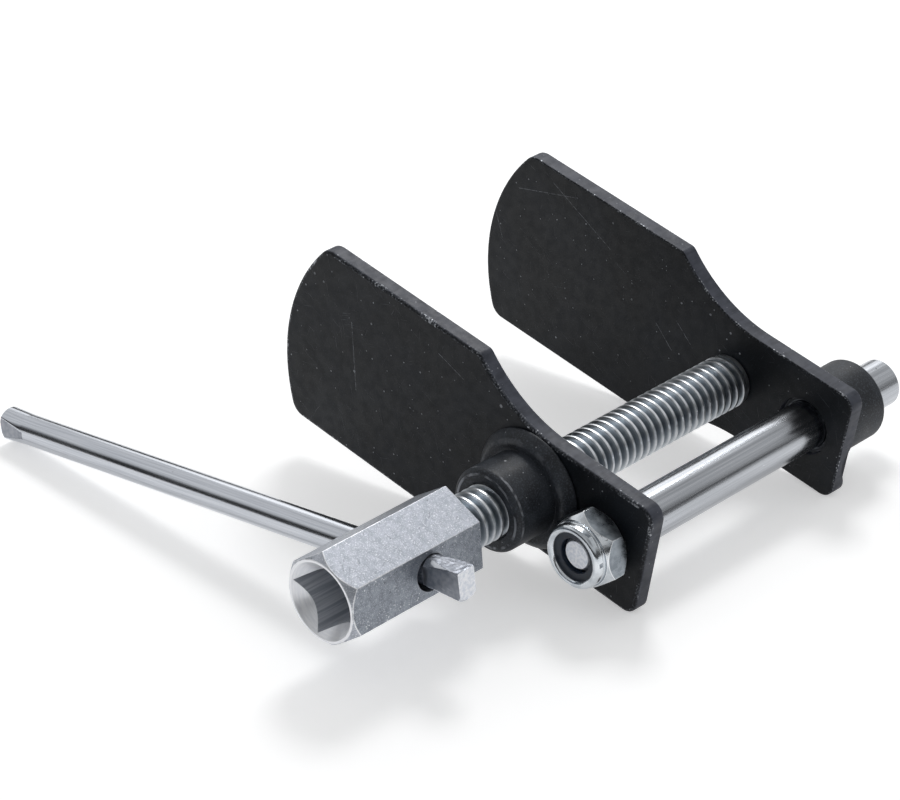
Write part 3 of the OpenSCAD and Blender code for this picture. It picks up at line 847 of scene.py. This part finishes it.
def drive_head():
    """Hexagon with a broached square, a turned mouth and a drilled cross hole."""
    solid = eased_solid("drive_head", radius=0.1 * MM, strip=0.12 * MM)
    solid.normal_update()
    mouth_index, wall_index, shade_flat_index = 1, 2, 3
    mouth_l, socket_l = 3 * MM, 19 * MM
    mouth_rub, other_rub = 1.4, 0.3
    least_flat = 100 * MM * MM
    # Shares of a face's normal along the screw, away from its axis and along a flat's normal
    side_on, to_mouth, inward, outside, parallel = 0.05, -0.25, 0.3, 0.8, 0.98
    wear = solid.verts.layers.float["wear"]
    for vertex in solid.verts:
        vertex[wear] *= mouth_rub if vertex.co.y < mouth_l else other_rub
    flats = [f for f in solid.faces if abs(f.normal.y) < side_on and f.calc_area() > least_flat]
    shaded_side = max((f.normal.copy() for f in flats), key=lambda n: n.x)
    for face in solid.faces:
        centre = face.calc_center_median()
        outward = Vector((centre.x, 0, centre.z)).normalized().dot(face.normal)
        by_socket = centre.y < socket_l
        if by_socket and face.normal.y < to_mouth and outward < inward:
            face.material_index = mouth_index
        elif by_socket and outward < -inward:
            face.material_index = wall_index
        # The flats parallel to the one facing most along X take the darker finish of painted shade
        elif outward > outside and abs(face.normal.dot(shaded_side)) > parallel:
            face.material_index = shade_flat_index
    finishes = ["zinc_plated_hexagon_bar", "zinc_plated_turned_mouth", "broached_socket_wall",
                "zinc_plated_painted_shade_flat"]
    new_piece("drive_head_broached", solid, "drive_head", finishes)


def washer_and_ring():
    """Thrust washer and circlip on the journal."""
    for node, material in (
        ("thrust_washer", "passivated_zinc_nut"),
        ("retaining_ring", "phosphated_spring_steel"),
    ):
        solid = eased_solid(node, radius=0.12 * MM, strip=0.1 * MM)
        new_piece(node + "_stamped", solid, node, [material])


# Rod with its nut

def guide_rod():
    """Ground rod, and the sawn end of its stud in the nut."""
    edge_r, stud_gap = 0.12 * MM, 0.5 * MM
    sawn_index = 1
    profile = eased_profile(turned_profile("guide_rod", rod_x, rod_z), edge_r)
    solid = ring_skin([circle(rod_x, rod_z, y, radius) for y, radius in profile])
    for face in solid.faces:
        if face.calc_center_median().y < front_high.y - stud_gap:
            face.material_index = sawn_index
    new_piece("guide_rod_ground", solid, "guide_rod", ["polished_hard_chrome", "sawn_zinc_plated_steel"])


def lock_nut():
    """Cold-formed nut with a rolled lip over its nylon ring."""
    solid = eased_solid("lock_nut", radius=0.1 * MM, strip=0.12 * MM)
    solid.normal_update()
    axis = Vector((rod_x, 0, rod_z))
    flat_index = 1
    least_flat = 15 * MM * MM
    side_on, parallel = 0.1, 0.995
    upright = [f for f in solid.faces if abs(f.normal.y) < side_on]
    flats = [f.normal.copy() for f in upright if f.calc_area() > least_flat]
    for face in solid.faces:
        arm = face.calc_center_median() - axis
        outward = Vector((arm.x, 0, arm.z)).dot(face.normal) > 0
        # Outward faces along the large flats take the darker finish of painted shade
        if outward and any(face.normal.dot(flat) > parallel for flat in flats):
            face.material_index = flat_index
    new_piece("lock_nut_formed", solid, "lock_nut", ["passivated_zinc_nut", "painted_shade_nut_flat"])
    insert = eased_solid("lock_nut_insert", radius=0.2 * MM, strip=0.12 * MM)
    new_piece("lock_nut_insert_moulded", insert, "lock_nut_insert", ["moulded_nylon"])


# Tommy bar

# Lines of (distance from the bar's end, size) in mm: the radius with its ears, half the thickness between
# the pressed flats, and the height of the hammered top above the axis
STUB_RADIUS_MM = ((0, 3.95), (0.6, 4.5), (8, 3.9))
STUB_FLAT_MM = ((0, 2.6), (10.4, 3.0), (13.6, 3.94), (14.2, 4.6))
STUB_TOP_MM = ((0, 3.2), (11, 3.85), (12.5, 4.6))
LONG_RADIUS_MM = ((0, 3.6), (0.6, 4.2), (8, 3.9))
LONG_FLAT_MM = ((0, 3.1), (9, 3.94), (9.6, 4.6))
HAMMER_MM = 0.14
HAMMER_GRAIN_MM = 0.9


def tommy_bar():
    """Drawn bar with pressed flats and ears at both ends. The short end's top is hammered rough."""
    along = [v.co.dot(bar_axis) for v in frame["nodes"]["tommy_bar"].data.vertices]
    low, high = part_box("tommy_bar")
    length_mm = (max(along) - min(along)) / MM
    middle = (low + high) / 2
    stub_end = middle + bar_axis * (min(along) - middle.dot(bar_axis))
    side = (Vector((0, 1, 0)) - bar_axis * bar_axis.y).normalized()
    top = bar_axis.cross(side)
    top = top if top.z > 0 else -top
    count = 120
    flat_easing_mm, top_easing_mm, top_slack_mm = 0.25, 0.12, 0.1
    # Places along the bar in mm: close at the ears, even along the pressed flats, and wide apart between
    end_stations = [0, 0.1, 0.2, 0.35, 0.5, 0.6, 0.7, 0.85] + [1 + 0.4 * k for k in range(36)]
    plain_steps = 24
    plain_start, plain_end = end_stations[-1], length_mm - end_stations[-1]
    stations = end_stations + [plain_start + (plain_end - plain_start) * k / plain_steps
                               for k in range(1, plain_steps)]
    stations += [length_mm - s for s in reversed(end_stations)]

    rings, hammered = [], []
    for station in stations:
        ring = []
        at_stub = station < length_mm / 2
        from_end = min(station, length_mm - station)
        radius = between(STUB_RADIUS_MM if at_stub else LONG_RADIUS_MM, from_end)
        flat = between(STUB_FLAT_MM if at_stub else LONG_FLAT_MM, from_end)
        for i in range(count):
            angle = 2 * math.pi * i / count
            across, up = radius * math.sin(angle), radius * math.cos(angle)
            across = math.copysign(eased_min(abs(across), flat, flat_easing_mm), across)
            limit = between(STUB_TOP_MM, from_end) if at_stub else 2 * radius
            hammered.append(up > limit - top_slack_mm)
            if limit < radius:
                dent = noise.noise(Vector((station, across, 0)) / HAMMER_GRAIN_MM) * HAMMER_MM
                limit += min(dent, HAMMER_MM / 2)
            up = eased_min(up, limit, top_easing_mm)
            ring.append(stub_end + (bar_axis * station + side * across + top * up) * MM)
        rings.append(ring)
    solid = ring_skin(rings)
    solid.verts.index_update()
    solid.normal_update()
    sawn_index, pressed_index = 1, 2
    end_on, side_on = 0.9, 0.98
    for face in solid.faces:
        station = (face.calc_center_median() - stub_end).dot(bar_axis) / MM
        on_flats = station < STUB_FLAT_MM[-2][0] or station > length_mm - LONG_FLAT_MM[-2][0]
        pressed = on_flats and abs(face.normal.dot(side)) > side_on
        if abs(face.normal.dot(bar_axis)) > end_on:
            face.material_index = sawn_index
        elif pressed or all(hammered[v.index] for v in face.verts):
            face.material_index = pressed_index
    finishes = ["bright_drawn_bar", "sawn_zinc_plated_steel", "pressed_bar_flat"]
    new_piece("tommy_bar_drawn", solid, "tommy_bar", finishes)


# Stage

def stage():
    """Pale bench top, two soft boxes, a room that darkens towards the horizon, and the camera."""
    bench_reach, bench_gap, bench_glow = 4.0, 0.05 * MM, 0.42
    bench = bmesh.new()
    bmesh.ops.create_grid(bench, x_segments=1, y_segments=1, size=bench_reach)
    mesh = bpy.data.meshes.new("bench")
    bench.to_mesh(mesh)
    bench.free()
    floor = bpy.data.objects.new("bench", mesh)
    floor.location = (0, 0, bench_z - bench_gap)
    bpy.context.scene.collection.objects.link(floor)

    paper = bpy.data.materials.new("white_bench_paper")
    paper.use_nodes = True
    tree = paper.node_tree
    tree.nodes.clear()
    seen = add(tree, "most", add(tree, "camera ray"), add(tree, "glossy ray"))
    seen = add(tree, "most", seen, add(tree, "transmission ray"))
    glow = add(tree, "glow", linear("#ffffff"), add(tree, "times", seen, bench_glow))
    both = add(tree, "both", add(tree, "diffuse", linear("#ededed")), glow)
    fill(tree, tree.nodes.new("ShaderNodeOutputMaterial"), {"Surface": both})
    mesh.materials.append(paper)

    world = bpy.data.worlds.new("studio")
    bpy.context.scene.world = world
    world.use_nodes = True
    tree = world.node_tree
    tree.nodes.clear()
    direction = add(tree, "direction")
    height, ahead = add(tree, "z of", direction), add(tree, "y of", direction)
    right = add(tree, "x of", direction)
    # Dark near the horizon apart from the far end, pale above it, dimmer overhead and at the drive end
    low = add(tree, "step", ahead, 0.64, 0.8, 0.06, 0.6)
    high = add(tree, "step", right, 0.2, 0.6, 0.88, 0.6)
    room = add(tree, "step", height, 0.23, 0.45, low, high)
    room = add(tree, "times", room, add(tree, "step", height, 0.6, 0.8, 1.0, 0.5))
    room = add(tree, "times", room, add(tree, "step", ahead, -0.95, -0.6, 0.3, 1.0))
    sky = add(tree, "sky", linear("#fdfeff"), room)
    fill(tree, tree.nodes.new("ShaderNodeOutputWorld"), {"Surface": sky})

    target = Vector((0, 0.08, 0))
    for name, place, size, power in (
        ("soft_box_left", (-0.58, 0.62, 0.47), 0.58, 1.0),
        ("soft_box_top", (-0.33, 0.56, 0.80), 0.28, 3.2),
    ):
        lamp = bpy.data.lights.new(name, "AREA")
        lamp.shape = "SQUARE"
        lamp.size = size
        lamp.energy = power
        held = bpy.data.objects.new(name, lamp)
        held.location = place
        held.rotation_euler = (target - Vector(place)).to_track_quat("-Z", "Y").to_euler()
        bpy.context.scene.collection.objects.link(held)

    lens = bpy.data.cameras.new("photo_camera")
    lens.lens = CAMERA_LENS_MM
    lens.sensor_width = CAMERA_SENSOR_MM
    lens.clip_start = 0.01
    camera = bpy.data.objects.new("photo_camera", lens)
    right = CAMERA_RIGHT.normalized()
    back = right.cross(CAMERA_UP).normalized()
    up = back.cross(right)
    turn = Matrix((right, up, back)).transposed()
    camera.matrix_world = Matrix.Translation(CAMERA_PLACE) @ turn.to_4x4()
    bpy.context.scene.collection.objects.link(camera)
    bpy.context.scene.camera = camera
    bpy.context.scene.view_settings.view_transform = "Standard"


black_oxide_sheared_steel()
black_oxide_turned_steel()
zinc_plated_hexagon_bar()
zinc_plated_turned_mouth()
broached_socket_wall()
zinc_plated_rolled_thread()
passivated_zinc_nut()
painted_shade_nut_flat()
polished_hard_chrome()
bright_drawn_bar()
sawn_zinc_plated_steel()
pressed_bar_flat()
phosphated_spring_steel()
moulded_nylon()
plates()
hub()
guide_sleeve()
spindle()
drive_head()
washer_and_ring()
guide_rod()
lock_nut()
tommy_bar()
stage()
